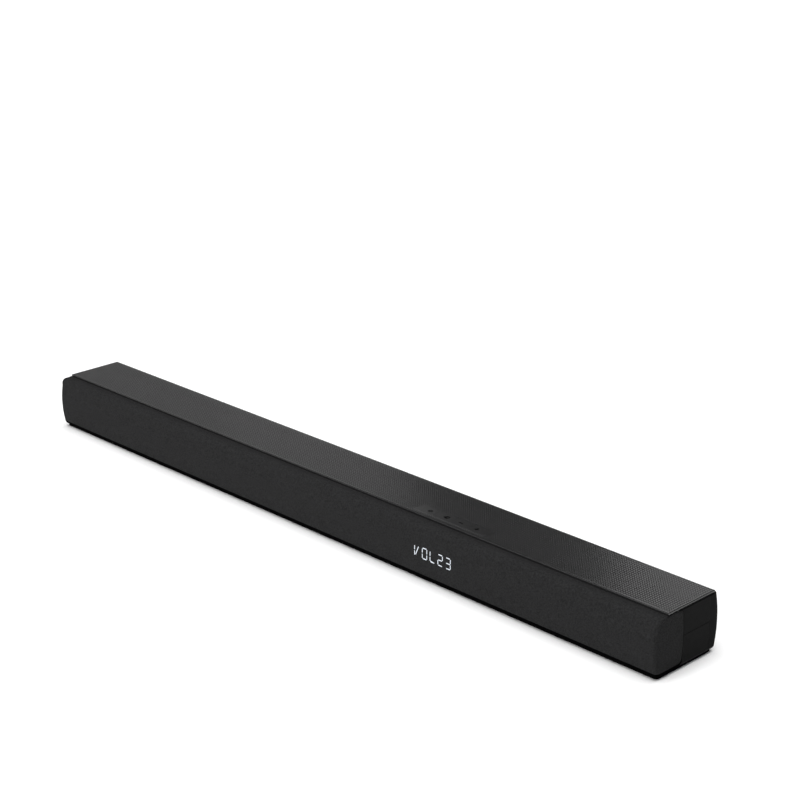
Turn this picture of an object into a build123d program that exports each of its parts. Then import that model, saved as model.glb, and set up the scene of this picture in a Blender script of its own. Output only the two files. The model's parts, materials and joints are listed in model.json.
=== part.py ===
"""Soundbar: a 950 mm bar with a cloth-covered front, a textured top panel with four keys,
three racetrack drivers, a character display and a connector bay at the back.

Row frame, in millimetres: origin at the bottom centre, on the surface it stands on,
+X to the right along the bar, +Y to the back, +Z up.
"""
from build123d import *
import math
import os

os.makedirs("parts", exist_ok=True)

# ---- Overall size -------------------------------------------------------------------
length = 950.0
depth = 96.0
height = 65.0
body_bottom = 3.0
body_top = 62.0
body_middle = (body_bottom + body_top) / 2

# ---- Outer shape --------------------------------------------------------------------
bulge_radius = 115.0  # front and back faces, seen from the end
front_top_radius = 7.0
back_top_radius = 5.0
corner_radius = 4.8  # vertical corners
bottom_radius = 4.0  # all round the bottom
least_radius = 0.8  # what an inset corner keeps

# ---- Walls and gaps -----------------------------------------------------------------
wall = 2.5
cloth_thickness = 0.8
frame_inset = 0.9  # outside of the grille frame, behind the cloth
frame_wall = 2.0
grille_room = 3.2  # what cloth and frame take from the housing
seam_gap = 0.3
rear_gap = 0.12  # between both shells and the back cover
seam_z = 35.1
rear_seam_y = 32.8

# ---- Grille -------------------------------------------------------------------------
wrap_middle_y = -7.1  # back edge of the cloth on the end faces, at its furthest
wrap_edge_y = -8.8  # the same edge, at the top and the bottom
wrap_corner_radius = 6.0
end_return = 6.4  # width of the strip that the end returns of the grille take
top_flange_y = -28.4
bottom_flange_y = -37.8
cloth_edge_z = 7.4  # the cloth's lower edge, all round, above the frame's bare lip
lip_inset = 0.2

# ---- Top panel and keys -------------------------------------------------------------
panel_thickness = 1.8
panel_half_length = 473.5
panel_front_y = -29.5
panel_back_y = 40.8
panel_corner_radius = 1.0
panel_rib_inset = 1.4
panel_rib_width = 2.0
hook_x = (-420.0, -300.0, -100.0, 100.0, 300.0, 420.0)
hook_y = (-18.6, 28.0)
hook_width = 8.0

key_centre_x = 186.4
key_centre_y = -15.55
key_names = ("power_key", "input_key", "volume_down_key", "volume_up_key")
key_width = 24.7
key_depth = 13.6
key_pitch = 24.85
key_travel = 0.6
key_slot_gap = 0.15
key_corner_radius = 1.2
stem_bottom_z = 57.6
stem_radius = 2.5

# ---- Front baffle and drivers -------------------------------------------------------
baffle_front_y = -36.0
baffle_thickness = 3.0
baffle_back_y = baffle_front_y + baffle_thickness
drivers = {"left": -330.0, "centre": 0.0, "right": 330.0}
driver_z = 32.5
basket_flange = (112.0, 50.0)
basket_cup = (98.0, 38.0)
basket_mouth = (92.0, 40.0)
cone_rim = (84.0, 32.0)
cone_rim_y = -38.0
cone_depth = 7.0
cone_slope = 0.46  # how far the wall comes in for each millimetre of depth
former_radius = 12.2
motor_front_y = -18.0
motor_back_y = -4.0
motor_radius = 22.0

# ---- Boards and connectors ----------------------------------------------------------
board_thickness = 1.6
main_board_box = ((-75.0, -2.0), (55.0, 33.5))
main_board_z = 20.0
main_top = main_board_z + board_thickness
power_board_box = ((165.0, -2.0), (290.0, 33.5))
power_board_z = 18.0
bay_z = 27.0
bay_height = 30.0
signal_bay_x, signal_bay_width = -10.0, 112.0
power_bay_x, power_bay_width = 200.0, 44.0
bay_floor_y = 33.8
bay_floor = 2.0
bay_lip_y = 45.6  # where the trays' walls run into the back of the cover
bay_wall = 1.5
bay_corner_radius = 3.0
hdmi_x = (-50.0, -28.0)
optical_x = -8.0
usb_x = 12.0
aux_x = 32.0
hdmi_size = (15.0, 11.5, 5.6)
optical_size = (10.0, 12.0, 10.0)
optical_mouth = 6.0
usb_size = (14.6, 13.0, 7.0)
aux_size = (8.0, 12.0, 7.6)
inlet_size = (24.0, 15.0, 14.6)
socket_gap = 0.3

# ---- Display ------------------------------------------------------------------------
display_x = 187.0
display_z = 33.55
character_pitch = 11.2
character_size = (7.8, 13.1)
stroke = 1.3
display_face_y = -45.4
display_back_y = -38.2
ribbon_x, ribbon_z, ribbon_height, ribbon_thickness = 209.0, 22.0, 8.0, 0.6

# ---- Base, feet and fasteners -------------------------------------------------------
base_half_length = 472.0
base_half_depth = 41.6
base_low, base_high = 0.5, 2.9
base_corner_radius = 3.5
foot_size = (90.0, 12.0, 1.5)
foot_x = (-390.0, 0.0, 390.0)
foot_y = 29.0
boss_x = (-440.0, -262.0, -90.0, 90.0, 262.0, 440.0)
boss_y = -12.0
boss_radius = 4.0
screw_radius = 1.45
pilot_radius = 1.5
clear_radius = 1.8
screw_head_radius = 3.0
cover_screw_x = (-440.0, -330.0, -100.0, 100.0, 330.0, 440.0)
cover_screw_z = 14.0
baffle_screw_x = (-455.0, -165.0, 165.0, 455.0)
baffle_screw_z = (10.0, 53.2)
insert_x = 300.0
insert_z = body_middle
insert_radius = 3.5
insert_hole_radius = 2.0
insert_length = 11.0


def save(builder, node):
    """Label the finished piece and write it as the node of that name."""
    builder.part.label = node
    export_step(builder.part, f"parts/{node}.step")


def block(low, high, mode=Mode.ADD):
    """Box between two opposite corners."""
    size = [b - a for a, b in zip(low, high)]
    middle = [(a + b) / 2 for a, b in zip(low, high)]
    with Locations(tuple(middle)):
        Box(*size, mode=mode)


def rod(start, end, radius, mode=Mode.ADD):
    """Round bar between two points."""
    run = Vector(*end) - Vector(*start)
    with Locations(Plane(origin=start, z_dir=run)):
        Cylinder(radius, run.length, align=(Align.CENTER, Align.CENTER, Align.MIN), mode=mode)


def at_depth(y):
    """Sketch plane across the bar at depth y, seen from the front; -amount goes to the back."""
    return Plane.XZ.offset(-y)


# =====================================================================================
# Outer shape and the zones that divide it
# =====================================================================================


def bar_block(inset=0.0):
    """The bar's closed outer shape, shrunk by inset on every side."""
    low, high = body_bottom + inset, body_top - inset
    half_depth = depth / 2 - inset
    arc_radius = bulge_radius - inset
    edge_y = half_depth - arc_radius + math.sqrt(arc_radius**2 - ((high - low) / 2) ** 2)

    def side_profile():
        Line((-edge_y, high), (edge_y, high))
        ThreePointArc((edge_y, high), (half_depth, body_middle), (edge_y, low))
        Line((edge_y, low), (-edge_y, low))
        ThreePointArc((-edge_y, low), (-half_depth, body_middle), (-edge_y, high))

    with BuildPart() as bar:
        with BuildSketch(Plane.YZ):
            with BuildLine():
                side_profile()
            make_face()
        extrude(amount=length / 2 - inset, both=True)
        fillet(bar.edges().filter_by(GeomType.CIRCLE), max(corner_radius - inset, least_radius))
        fillet(bar.faces().sort_by(Axis.Z)[0].edges(), max(bottom_radius - inset, least_radius / 2))
        with BuildSketch(Plane.YZ) as rounded:
            with BuildLine():
                side_profile()
            make_face()
            top_corners = rounded.vertices().group_by(Axis.Y)[-1].sort_by(Axis.X)
            fillet(top_corners[0], max(front_top_radius - inset, least_radius))
            fillet(top_corners[-1], max(back_top_radius - inset, least_radius))
        extrude(amount=length, both=True, mode=Mode.INTERSECT)
    return bar.part


def grille_zone(gap=0.0, low=0.0):
    """Everything in front of the cloth's back edge and above low, seen from the end; gap widens it."""
    with BuildPart() as zone:
        with BuildSketch(Plane.YZ) as side:
            with BuildLine():
                Line((-depth, body_bottom - gap), (wrap_edge_y + gap, body_bottom - gap))
                ThreePointArc(
                    (wrap_edge_y + gap, body_bottom - gap),
                    (wrap_middle_y + gap, body_middle),
                    (wrap_edge_y + gap, body_top + gap),
                )
                Line((wrap_edge_y + gap, body_top + gap), (-depth, body_top + gap))
                Line((-depth, body_top + gap), (-depth, body_bottom - gap))
            make_face()
            with Locations((0, low - gap)):
                Rectangle(4 * depth, height, align=(Align.CENTER, Align.MAX), mode=Mode.SUBTRACT)
            fillet(side.vertices().filter_by_position(Axis.X, -depth / 4, depth), wrap_corner_radius + gap)
        extrude(amount=length, both=True)
    return zone.part


def behind_flanges(top_y, bottom_y, end_x):
    """The space between the grille's end returns, behind its top and bottom flanges."""
    with BuildPart() as space:
        block((-end_x, top_y, body_middle), (end_x, depth, height))
        block((-end_x, bottom_y, 0), (end_x, depth, body_middle))
    return space.part


outside = bar_block()
return_x = length / 2 - end_return

# =====================================================================================
# Grille: cloth skin over a perforated frame
# =====================================================================================

grille_space = behind_flanges(top_flange_y, bottom_flange_y, return_x)
cloth_block = outside & grille_zone(low=cloth_edge_z)
cloth_lining = bar_block(cloth_thickness)

with BuildPart() as grille_cloth:
    add(cloth_block)
    add(cloth_lining, mode=Mode.SUBTRACT)
    add(grille_space, mode=Mode.SUBTRACT)
save(grille_cloth, "grille_cloth")

frame_block = bar_block(frame_inset) & grille_zone(-0.3)
frame_lining = bar_block(frame_inset + frame_wall)
slot_length, slot_width, slot_pitch, slot_columns = 17.0, 3.4, 6.6, 15

with BuildPart() as lip:
    add(bar_block(lip_inset) & grille_zone(-0.3))
    add(grille_zone(0.1, cloth_edge_z), mode=Mode.SUBTRACT)

with BuildPart() as grille_frame:
    add(frame_block)
    add(lip.part)
    add(frame_lining, mode=Mode.SUBTRACT)
    add(grille_space, mode=Mode.SUBTRACT)
    with BuildSketch(at_depth(-depth / 2)):
        with Locations([(x, driver_z) for x in drivers.values()]):
            with GridLocations(slot_pitch, slot_length + 4, slot_columns, 2):
                SlotOverall(slot_length, slot_width, rotation=90)
    extrude(amount=-10, mode=Mode.SUBTRACT)
    with BuildSketch(at_depth(-depth / 2)):
        with Locations((display_x, display_z)):
            RectangleRounded(62.4, 20.4, 2)
        with Locations((display_x + 45, display_z)):
            Circle(4.5)
    extrude(amount=-10, mode=Mode.SUBTRACT)
save(grille_frame, "grille_frame")

# =====================================================================================
# Housing: upper and lower shells with the end caps, and the back cover
# =====================================================================================

inner_half = length / 2 - grille_room
grille_pocket = (outside - bar_block(grille_room)) & grille_zone(0.1)
grille_pocket -= behind_flanges(top_flange_y + 0.2, bottom_flange_y + 0.2, return_x - 0.2)
narrow_hollow = bar_block(grille_room + wall)
wide_hollow = bar_block(wall)

with BuildPart() as deck_hollow:
    add(wide_hollow)
    block(
        (wall - return_x, top_flange_y + wall + 0.2, 0),
        (return_x - wall, depth, height),
        mode=Mode.INTERSECT,
    )

with BuildPart() as end_hollow:
    add(wide_hollow)
    block((-length, wrap_middle_y + wall, 0), (length, depth, height), mode=Mode.INTERSECT)

shell = outside - grille_pocket - narrow_hollow - deck_hollow.part - end_hollow.part


def board_posts(corners, deck_z, inset=5.0):
    """Four posts from the bottom deck to just under a board."""
    (x0, y0), (x1, y1) = corners
    for x in (x0 + inset, x1 - inset):
        for y in (y0 + inset, y1 - inset):
            rod((x, y, body_bottom + wall - 0.5), (x, y, deck_z - 0.1), 3.0)


with BuildPart() as lower_housing:
    add(shell)
    block(
        (-length, baffle_back_y + 0.1, 0),
        (length, rear_seam_y - rear_gap / 2, seam_z - seam_gap / 2),
        mode=Mode.INTERSECT,
    )
    for x in boss_x:
        rod((x, boss_y, body_bottom + 1), (x, boss_y, seam_z - seam_gap / 2), boss_radius)
    for x in cover_screw_x:
        block(
            (x - 5, rear_seam_y - 12, body_bottom + 1),
            (x + 5, rear_seam_y - rear_gap / 2, cover_screw_z + 5),
        )
    for x in baffle_screw_x:
        block((x - 5, baffle_back_y + 0.1, body_bottom + 4), (x + 5, baffle_back_y + 10, 15))
    board_posts(main_board_box, main_board_z)
    board_posts(power_board_box, power_board_z)
    for x in boss_x:
        rod((x, boss_y, 0), (x, boss_y, height), clear_radius, mode=Mode.SUBTRACT)
    for x in cover_screw_x:
        rod(
            (x, rear_seam_y, cover_screw_z),
            (x, rear_seam_y - 10, cover_screw_z),
            pilot_radius,
            mode=Mode.SUBTRACT,
        )
    for x in baffle_screw_x:
        rod(
            (x, baffle_back_y, baffle_screw_z[0]),
            (x, baffle_back_y + 9, baffle_screw_z[0]),
            pilot_radius,
            mode=Mode.SUBTRACT,
        )
save(lower_housing, "lower_housing")

key_opening = (104.6, 17.0)

with BuildPart() as upper_housing:
    add(shell)
    block(
        (-length, baffle_back_y + 0.1, seam_z + seam_gap / 2),
        (length, rear_seam_y - rear_gap / 2, height),
        mode=Mode.INTERSECT,
    )
    for x in boss_x:
        rod((x, boss_y, seam_z + seam_gap / 2), (x, boss_y, body_top - 1), boss_radius)
    for x in baffle_screw_x:
        block((x - 5, baffle_back_y + 0.1, 48), (x + 5, baffle_back_y + 7, 57.5))
    for x in boss_x:
        rod((x, boss_y, 0), (x, boss_y, 52), pilot_radius, mode=Mode.SUBTRACT)
    for x in baffle_screw_x:
        rod(
            (x, baffle_back_y, baffle_screw_z[1]),
            (x, baffle_back_y + 6.5, baffle_screw_z[1]),
            pilot_radius,
            mode=Mode.SUBTRACT,
        )
    with BuildSketch(Plane.XY.offset(body_middle + 20)):
        with Locations((key_centre_x, key_centre_y)):
            Rectangle(*key_opening)
        with Locations([(x, y) for x in hook_x for y in hook_y]):
            Rectangle(hook_width + 0.6, 4.2)
    extrude(amount=height, mode=Mode.SUBTRACT)
save(upper_housing, "upper_housing")

socket_holes = [(x, main_top + hdmi_size[2] / 2, hdmi_size[0], hdmi_size[2]) for x in hdmi_x]
socket_holes += [
    (optical_x, main_top + optical_size[2] / 2, optical_mouth, optical_mouth),
    (usb_x, main_top + usb_size[2] / 2, usb_size[0], usb_size[2]),
    (aux_x, main_top + aux_size[2] / 2, aux_size[0], aux_size[2]),
    (power_bay_x, bay_z, inlet_size[0], inlet_size[2]),
]


def bay_outline(y, inset):
    """Rounded outlines of both bays, on a plane across the depth."""
    with BuildSketch(at_depth(y)) as outline:
        for x, width in ((signal_bay_x, signal_bay_width), (power_bay_x, power_bay_width)):
            with Locations((x, bay_z)):
                size = (width - 2 * inset, bay_height - 2 * inset)
                RectangleRounded(*size, bay_corner_radius - inset)
    return outline.sketch


with BuildPart() as rear_cover:
    add(outside)
    add(wide_hollow, mode=Mode.SUBTRACT)
    block(
        (-length, rear_seam_y + rear_gap / 2, 0),
        (length, depth, height),
        mode=Mode.INTERSECT,
    )
    for x in (-insert_x, insert_x):
        rod((x, 36, insert_z), (x, 46.5, insert_z), insert_radius + 3)
        rod((x, 30, insert_z), (x, depth, insert_z), insert_radius + 0.05, mode=Mode.SUBTRACT)
    for x in cover_screw_x:
        rod((x, rear_seam_y + 0.15, cover_screw_z), (x, 45, cover_screw_z), 5)
        rod((x, 0, cover_screw_z), (x, depth, cover_screw_z), clear_radius, mode=Mode.SUBTRACT)
        rod((x, 42, cover_screw_z), (x, depth, cover_screw_z), 3.6, mode=Mode.SUBTRACT)
    extrude(bay_outline(bay_floor_y, 0), amount=bay_floor_y - bay_lip_y)
    extrude(bay_outline(bay_floor_y + bay_floor, bay_wall), amount=-depth, mode=Mode.SUBTRACT)
    for x, z, width, tall in socket_holes:
        with Locations((x, bay_floor_y, z)):
            Box(width + socket_gap, 20, tall + socket_gap, mode=Mode.SUBTRACT)
save(rear_cover, "rear_cover")

# =====================================================================================
# Top panel and keys
# =====================================================================================

panel_low = height - panel_thickness
panel_middle_y = (panel_front_y + panel_back_y) / 2
panel_size = (2 * panel_half_length, panel_back_y - panel_front_y)
key_row = len(key_names) * key_pitch - (key_pitch - key_width)
key_slot = (key_row + 2 * key_slot_gap, key_depth + 2 * key_slot_gap)

with BuildPart() as top_panel:
    with BuildSketch(Plane.XY.offset(panel_low)):
        with Locations((0, panel_middle_y)):
            RectangleRounded(*panel_size, panel_corner_radius)
    extrude(amount=panel_thickness)
    chamfer(top_panel.faces().sort_by(Axis.Z)[-1].edges(), 0.4)
    with BuildSketch(Plane.XY.offset(body_top)):
        with Locations((0, panel_middle_y)):
            Rectangle(*(s - 2 * panel_rib_inset for s in panel_size))
            rib_hole = [s - 2 * (panel_rib_inset + panel_rib_width) for s in panel_size]
            Rectangle(*rib_hole, mode=Mode.SUBTRACT)
    extrude(amount=panel_low - body_top)
    for x in hook_x:
        for y in hook_y:
            block((x - hook_width / 2, y - 0.8, 57.4), (x + hook_width / 2, y + 0.8, panel_low))
            block((x - hook_width / 2, y - 1.9, 57.4), (x + hook_width / 2, y + 0.8, 58.9))
    with BuildSketch(Plane.XY.offset(body_top)):
        with Locations((key_centre_x, key_centre_y)):
            RectangleRounded(*key_slot, key_corner_radius + key_slot_gap)
    extrude(amount=height, mode=Mode.SUBTRACT)
save(top_panel, "top_panel")

key_xs = [key_centre_x + (i - 1.5) * key_pitch for i in range(len(key_names))]

for name, x in zip(key_names, key_xs):
    with BuildPart() as key:
        with BuildSketch(Plane.XY.offset(61.4)):
            with Locations((x, key_centre_y)):
                RectangleRounded(key_width, key_depth, key_corner_radius)
        extrude(amount=height - 61.4)
        chamfer(key.faces().sort_by(Axis.Z)[-1].edges(), 0.12)
        block(
            (x - key_width / 2, key_centre_y - 7.7, 61.4),
            (x + key_width / 2, key_centre_y + 7.7, 62.9),
        )
        rod((x, key_centre_y, stem_bottom_z), (x, key_centre_y, 62), stem_radius)
    save(key, name)

mat_low = 54.0
dome_top_z = stem_bottom_z - 0.05

with BuildPart() as key_mat:
    block(
        (key_centre_x - 51, key_centre_y - 7.9, mat_low),
        (key_centre_x + 51, key_centre_y + 7.9, mat_low + 1),
    )
    for x in key_xs:
        with Locations((x, key_centre_y, mat_low + 1)):
            Cone(5, 3, dome_top_z - mat_low - 1, align=(Align.CENTER, Align.CENTER, Align.MIN))
        with Locations((x, key_centre_y, mat_low)):
            Cone(
                3.8,
                2.2,
                dome_top_z - mat_low - 1,
                align=(Align.CENTER, Align.CENTER, Align.MIN),
                mode=Mode.SUBTRACT,
            )
save(key_mat, "key_mat")

with BuildPart() as key_board:
    block(
        (key_centre_x - 52, key_centre_y - 8, mat_low - board_thickness),
        (key_centre_x + 52, key_centre_y + 8, mat_low),
    )
save(key_board, "key_board")

carrier_low = 50.8
carrier_high = 59.4

with BuildPart() as key_carrier:
    block(
        (key_centre_x - 54, key_centre_y - 9.65, carrier_low),
        (key_centre_x + 54, key_centre_y + 9.65, carrier_high),
    )
    block(
        (key_centre_x - 52.4, key_centre_y - 8.15, mat_low - board_thickness - 0.05),
        (key_centre_x + 52.4, key_centre_y + 8.15, height),
        mode=Mode.SUBTRACT,
    )
    for side in (-1, 1):
        with Locations((key_centre_x + side * 57.5, key_centre_y, carrier_high - 1)):
            Box(8, 9, 2)
            Hole(clear_radius)
save(key_carrier, "key_carrier")

# =====================================================================================
# Front baffle and drivers
# =====================================================================================

driver_screw_offset = (50.0, 18.0)


def driver_screw_points(x):
    """The four flange screws of a driver."""
    return [
        (x + sx * driver_screw_offset[0], driver_z + sz * driver_screw_offset[1])
        for sx in (-1, 1)
        for sz in (-1, 1)
    ]


with BuildPart() as front_baffle:
    with BuildSketch(at_depth(baffle_front_y)):
        with Locations((0, body_middle)):
            RectangleRounded(2 * 468, 51.6, 2)
        with Locations([(x, driver_z) for x in drivers.values()]):
            SlotOverall(basket_cup[0] + 1, basket_cup[1] + 1, mode=Mode.SUBTRACT)
        with Locations([(x, z) for x in baffle_screw_x for z in baffle_screw_z]):
            Circle(clear_radius, mode=Mode.SUBTRACT)
        for driver_x in drivers.values():
            with Locations(driver_screw_points(driver_x)):
                Circle(pilot_radius, mode=Mode.SUBTRACT)
        with Locations((ribbon_x, ribbon_z)):
            SlotOverall(ribbon_height + 4, 4, rotation=90, mode=Mode.SUBTRACT)
    extrude(amount=-baffle_thickness)
save(front_baffle, "front_baffle")

def make_basket(side, x):
    """Stamped frame: a flange on the baffle, four legs and a back plate."""
    flange_y = baffle_front_y - 2
    plate_y = motor_front_y - 2
    with BuildPart() as basket:
        with BuildSketch(at_depth(flange_y)):
            with Locations((x, driver_z)):
                RectangleRounded(*basket_flange, 9)
                SlotOverall(basket_cup[0] - 4, basket_cup[1] - 4, mode=Mode.SUBTRACT)
            with Locations(driver_screw_points(x)):
                Circle(clear_radius, mode=Mode.SUBTRACT)
        extrude(amount=-2)
        with BuildSketch(at_depth(flange_y + 1)):
            with Locations((x, driver_z)):
                SlotOverall(*basket_cup)
                SlotOverall(basket_cup[0] - 4, basket_cup[1] - 4, mode=Mode.SUBTRACT)
        extrude(amount=flange_y + 1 - plate_y)
        with BuildSketch(at_depth(plate_y)):
            with Locations((x, driver_z)):
                SlotOverall(*basket_cup)
                Circle(14, mode=Mode.SUBTRACT)
        extrude(amount=plate_y - motor_front_y)
        for window_x in (-24, 24):
            with Locations((x + window_x, (baffle_back_y + plate_y) / 2 + 1, driver_z)):
                Box(22, plate_y - baffle_back_y - 4, 60, mode=Mode.SUBTRACT)
        with Locations((x, (baffle_back_y + plate_y) / 2 + 1, driver_z)):
            Box(130, plate_y - baffle_back_y - 4, 14, mode=Mode.SUBTRACT)
    save(basket, f"{side}_basket")


def make_motor(side, x):
    """Ferrite ring between a top plate and a yoke with its pole piece."""
    plate, pole_radius, gap_radius = 3.0, 11.8, 13.4
    yoke_y = motor_back_y - 4
    with BuildPart() as motor:
        rod((x, motor_front_y, driver_z), (x, motor_front_y + plate, driver_z), motor_radius)
        rod((x, motor_front_y + plate, driver_z), (x, yoke_y, driver_z), motor_radius + 2)
        rod((x, yoke_y, driver_z), (x, motor_back_y, driver_z), motor_radius)
        rod((x, motor_front_y, driver_z), (x, yoke_y, driver_z), gap_radius, mode=Mode.SUBTRACT)
        rod((x, motor_front_y, driver_z), (x, yoke_y, driver_z), pole_radius)
    save(motor, f"{side}_motor")


def make_surround(side, x):
    """Half-roll rubber edge between the cone and the basket flange."""
    straight = cone_rim[0] - cone_rim[1]
    inner = cone_rim[1] / 2 + 0.15
    outer = basket_mouth[1] / 2 + 2
    roll = (basket_mouth[1] - cone_rim[1]) / 4
    lip_y = baffle_front_y - 2
    thickness = 0.6
    end_x = x + straight / 2
    with BuildPart() as surround:
        with BuildSketch(Plane.YZ.offset(end_x)) as section:
            with Locations((lip_y - thickness / 2, driver_z + (inner + outer) / 2)):
                Rectangle(thickness, outer - inner)
            with Locations((lip_y, driver_z + inner + roll + thickness)):
                Circle(roll + thickness)
                Circle(roll, mode=Mode.SUBTRACT)
                behind = 2 * (roll + thickness)
                Rectangle(behind, behind, align=(Align.MIN, Align.CENTER), mode=Mode.SUBTRACT)
        turning_axis = Axis((end_x, 0, driver_z), (0, 1, 0))
        revolve(section.sketch, axis=turning_axis, revolution_arc=180)
        extrude(section.sketch, amount=-straight)
        mirror(about=Plane.XY.offset(driver_z))
        mirror(about=Plane.YZ.offset(x))
    save(surround, f"{side}_surround")


def make_spider(side, x):
    """Corrugated disc that centres the voice coil."""
    inner, outer, waves, thickness = 12.9, 16.8, 4, 0.5
    front_y = motor_front_y - 2 - thickness - 0.5
    step = (outer - inner) / (2 * waves)
    crests = [
        (front_y + 0.5 * (i % 2), driver_z + inner + i * step) for i in range(2 * waves + 1)
    ]
    with BuildPart() as spider:
        with BuildSketch(Plane.YZ.offset(x)):
            with BuildLine():
                Polyline(*crests, *[(y + thickness, z) for y, z in reversed(crests)], close=True)
            make_face()
        revolve(axis=Axis((x, 0, driver_z), (0, 1, 0)))
    save(spider, f"{side}_spider")


def make_cone(side, x):
    """Racetrack cone with its dust cap."""
    skin, dome_radius, dome_height = 0.7, 10.0, 3.0
    floor_y = cone_rim_y + cone_depth
    dome_y = floor_y - skin / 2
    ball_radius = (dome_radius**2 + dome_height**2) / (2 * dome_height)
    dome = Pos(x, dome_y - dome_height + ball_radius, driver_z) * Sphere(ball_radius)
    dome &= Pos(x, dome_y - dome_height / 2, driver_z) * Box(30, dome_height, 30)
    with BuildPart() as cone:
        for inset, y, mode in ((0, floor_y, Mode.ADD), (skin, floor_y - skin, Mode.SUBTRACT)):
            for end_y in (cone_rim_y, y):
                shrink = 2 * inset + 2 * (end_y - cone_rim_y) * cone_slope
                with BuildSketch(at_depth(end_y)):
                    with Locations((x, driver_z)):
                        SlotOverall(cone_rim[0] - shrink, cone_rim[1] - shrink)
            loft(mode=mode)
        add(dome)
    save(cone, f"{side}_cone")


def make_voice_coil(side, x):
    """Paper former with the winding at its back end."""
    start_y, end_y, winding_length = cone_rim_y + cone_depth, motor_front_y + 5, 4
    with BuildPart() as voice_coil:
        rod((x, start_y, driver_z), (x, end_y, driver_z), former_radius + 0.4)
        rod((x, end_y - winding_length, driver_z), (x, end_y, driver_z), former_radius + 0.8)
        rod((x, start_y, driver_z), (x, end_y, driver_z), former_radius, mode=Mode.SUBTRACT)
    save(voice_coil, f"{side}_voice_coil")


for side, x in drivers.items():
    make_basket(side, x)
    make_motor(side, x)
    make_surround(side, x)
    make_spider(side, x)
    make_cone(side, x)
    make_voice_coil(side, x)

# =====================================================================================
# Display and remote-control receiver
# =====================================================================================

half_w, half_h = (s / 2 - stroke / 2 for s in character_size)
segment_trim = 0.35
segment_ends = {
    "a": ((-half_w, half_h), (half_w, half_h)),
    "b": ((half_w, half_h), (half_w, 0)),
    "c": ((half_w, 0), (half_w, -half_h)),
    "d": ((-half_w, -half_h), (half_w, -half_h)),
    "e": ((-half_w, 0), (-half_w, -half_h)),
    "f": ((-half_w, half_h), (-half_w, 0)),
    "g": ((-half_w, 0), (half_w, 0)),
    "slant": ((-half_w + 1.2, -half_h + 0.8), (half_w - 0.6, half_h)),
}
lit_segments = (("f", "e", "slant"), "abcdef", "def", "abged", "abgcd")


def segment_bars(width):
    """Every lit bar of the readout, on the current sketch plane."""
    for i, lit in enumerate(lit_segments):
        x = display_x + (i - 2) * character_pitch
        for key in lit:
            (x0, z0), (x1, z1) = segment_ends[key]
            run = math.hypot(x1 - x0, z1 - z0) - 2 * segment_trim - 0.3
            turn = math.degrees(math.atan2(z1 - z0, x1 - x0))
            with Locations((x + (x0 + x1) / 2, display_z + (z0 + z1) / 2)):
                Rectangle(run - (width < stroke) * 0.1, width, rotation=turn)


with BuildPart() as display_digits:
    with BuildSketch(at_depth(display_face_y)) as bars:
        segment_bars(stroke - 0.1)
    extrude(amount=display_face_y - display_back_y + 1)
save(display_digits, "display_digits")

with BuildPart() as display_holder:
    with BuildSketch(at_depth(display_face_y)):
        with Locations((display_x, display_z)):
            RectangleRounded(60, 18, 1)
    extrude(amount=display_face_y - display_back_y)
    with BuildSketch(at_depth(display_face_y)):
        segment_bars(stroke)
    extrude(amount=display_face_y - display_back_y, mode=Mode.SUBTRACT)
save(display_holder, "display_holder")

with BuildPart() as display_window:
    with BuildSketch(at_depth(display_face_y - 1.1)):
        with Locations((display_x, display_z)):
            RectangleRounded(60, 18, 1)
    extrude(amount=-1)
save(display_window, "display_window")

with BuildPart() as display_board:
    block(
        (display_x - 35, display_back_y + 0.1, display_z - 11),
        (display_x + 52, display_back_y + 0.1 + board_thickness, display_z + 11),
    )
save(display_board, "display_board")

with BuildPart() as ir_receiver:
    receiver_x = display_x + 45
    block((receiver_x - 3, -42, display_z - 4), (receiver_x + 3, display_back_y, display_z + 4))
    rod((receiver_x, -44.6, display_z), (receiver_x, -42, display_z), 2.4)
save(ir_receiver, "ir_receiver")

# =====================================================================================
# Boards, power supply and connectors
# =====================================================================================

with BuildPart() as main_board:
    (x0, y0), (x1, y1) = main_board_box
    block((x0, y0, main_board_z), (x1, y1, main_board_z + board_thickness))
save(main_board, "main_board")

with BuildPart() as power_board:
    (x0, y0), (x1, y1) = power_board_box
    block((x0, y0, power_board_z), (x1, y1, power_board_z + board_thickness))
save(power_board, "power_board")

power_top = power_board_z + board_thickness
fin_count, fin_pitch = 9, 4.6

with BuildPart() as amplifier_heatsink:
    block((-68, 2, main_top), (-28, 18, main_top + 3))
    for i in range(fin_count):
        block((-68 + i * fin_pitch, 2, main_top), (-66.4 + i * fin_pitch, 18, main_top + 22))
save(amplifier_heatsink, "amplifier_heatsink")

with BuildPart() as wireless_module:
    block((26, 2, main_top), (46, 20, main_top + 1))
    block((28, 4, main_top), (44, 15, main_top + 3))
save(wireless_module, "wireless_module")

with BuildPart() as power_transformer:
    block((222, 4, power_top), (226, 26, power_top + 24))
    block((242, 4, power_top), (246, 26, power_top + 24))
    block((222, 4, power_top), (246, 26, power_top + 4))
    block((222, 4, power_top + 20), (246, 26, power_top + 24))
    rod((234, 15, power_top), (234, 15, power_top + 24), 8.5)
save(power_transformer, "power_transformer")

with BuildPart() as power_capacitors:
    for x in (258, 276):
        rod((x, 17, power_top), (x, 17, power_top + 30), 8)
save(power_capacitors, "power_capacitors")


mouth_y = bay_floor_y + bay_floor + 1.0


def socket_shell(x, size, face_y=mouth_y):
    """Socket body on the main board, its mouth to the back."""
    width, deep, tall = size
    block((x - width / 2, face_y - deep, main_top), (x + width / 2, face_y, main_top + tall))


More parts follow.
